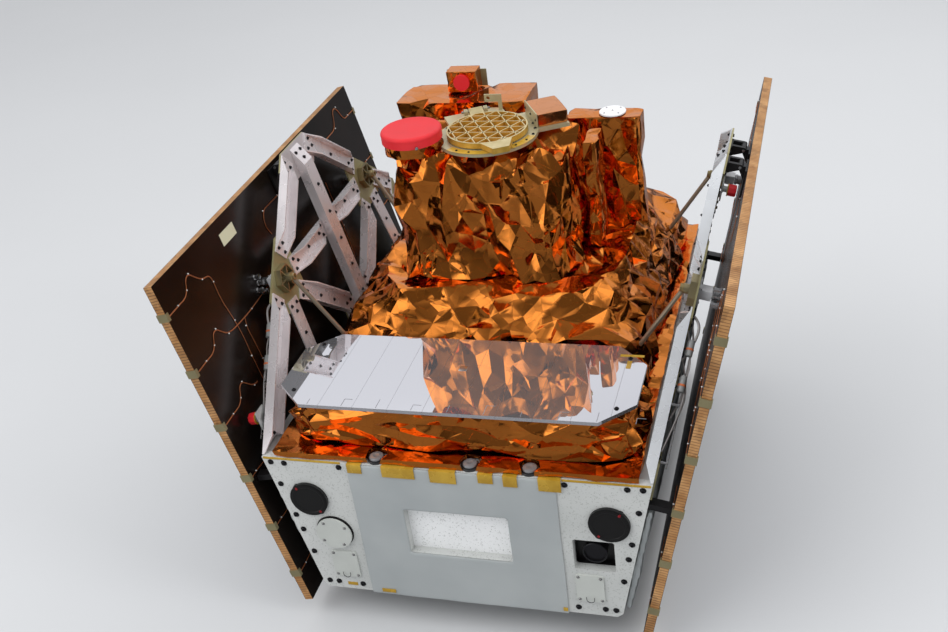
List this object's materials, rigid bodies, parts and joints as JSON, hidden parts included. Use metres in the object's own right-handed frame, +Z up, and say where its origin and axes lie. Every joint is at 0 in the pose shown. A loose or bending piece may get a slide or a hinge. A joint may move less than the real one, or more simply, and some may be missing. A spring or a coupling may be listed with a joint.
{
  "type": "small science satellite",
  "caption": "Small satellite: tapered body on a separation ring, foil-wrapped instrument with ribbed door and lift-off cap, mirror radiator, two hinged solar wings on side trusses.",
  "frame": {"origin": "centre of the separation ring's lower face", "axes": "+Z up, -Y towards the front face with the window and lens caps, +X towards the right wing seen from the front"},
  "size_m": [1.161, 1.0992, 1.019],
  "materials": {
    "bare_metal": "satin machined",
    "white_paint": "matt speckled",
    "panel_skin": "matt",
    "grey_cloth": "matt blanket",
    "black_trim": "black anodised",
    "amber_foil": "creased metallised film over padding",
    "pink_foil": "creased metallised film over padding",
    "mirror_tiles": "polished second-surface tiles",
    "red_plastic": "smooth",
    "gold_alloy": "chromate conversion coated",
    "olive_alloy": "anodised",
    "truss_paint": "satin",
    "strut_tube": "laid fibre tube",
    "solar_panel": "satin laminate"
  },
  "bodies": {
    "bus": {"adapter_ring": "bare_metal", "aperture_barrel": "amber_foil", "bottom_wall": "panel_skin", "camera_box": "black_trim", "cover_plates": "white_paint", "deck_blanket": "amber_foil", "deck_studs": "bare_metal", "deck_wall": "panel_skin", "door_drive_box": "pink_foil", "door_flange": "gold_alloy", "door_pin": "bare_metal", "door_stop": "gold_alloy", "front_blanket": "grey_cloth", "front_wall": "white_paint", "hold_down_blocks": "white_paint", "instrument_base": "amber_foil", "instrument_pillar": "amber_foil", "instrument_struts": "strut_tube", "instrument_tower": "amber_foil", "knee_fittings": "gold_alloy", "left_frame": "truss_paint", "left_frame_hinge": "black_trim", "left_gussets": "olive_alloy", "left_hinge_pins": "bare_metal", "left_side_wall": "panel_skin", "lens_caps": "black_trim", "mirror_box": "amber_foil", "mirror_plate": "mirror_tiles", "patch_antenna": "white_paint", "rear_box": "amber_foil", "rear_wall": "white_paint", "right_frame": "truss_paint", "right_frame_hinge": "black_trim", "right_gussets": "olive_alloy", "right_hinge_pins": "bare_metal", "right_side_wall": "panel_skin", "separation_ring": "bare_metal", "side_blankets": "grey_cloth", "side_box": "amber_foil", "star_tracker": "amber_foil", "tracker_cap": "red_plastic", "whip_antenna": "bare_metal", "window_tray": "white_paint", "wing_snubbers": "black_trim"},
    "aperture_door": {"aperture_door": "gold_alloy"},
    "aperture_cap": {"aperture_cap": "red_plastic"},
    "left_wing": {"left_wing_panel": "solar_panel", "left_wing_cups": "bare_metal", "left_wing_clips": "olive_alloy", "left_wing_hinge": "black_trim"},
    "right_wing": {"right_wing_panel": "solar_panel", "right_wing_cups": "bare_metal", "right_wing_clips": "olive_alloy", "right_wing_hinge": "black_trim"}
  },
  "joints": [
    {"name": "aperture_door_hinge", "type": "hinge", "parent": "bus", "child": "aperture_door", "pos_m": [-0.05586, 0.12173, 0.974], "axis": [-0.8771, -0.4802, 0], "range_deg": [0, 105]},
    {"name": "aperture_cap_lift", "type": "slide", "parent": "bus", "child": "aperture_cap", "axis": [0, 0, 1], "range_m": [0, 0.12]},
    {"name": "left_wing_hinge", "type": "hinge", "parent": "bus", "child": "left_wing", "pos_m": [-0.54322, 0.092, 0.87288], "axis": [0, 1, 0], "range_deg": [0, 102]},
    {"name": "right_wing_hinge", "type": "hinge", "parent": "bus", "child": "right_wing", "pos_m": [0.54322, 0.092, 0.87288], "axis": [0, -1, 0], "range_deg": [0, 102]}
  ]
}
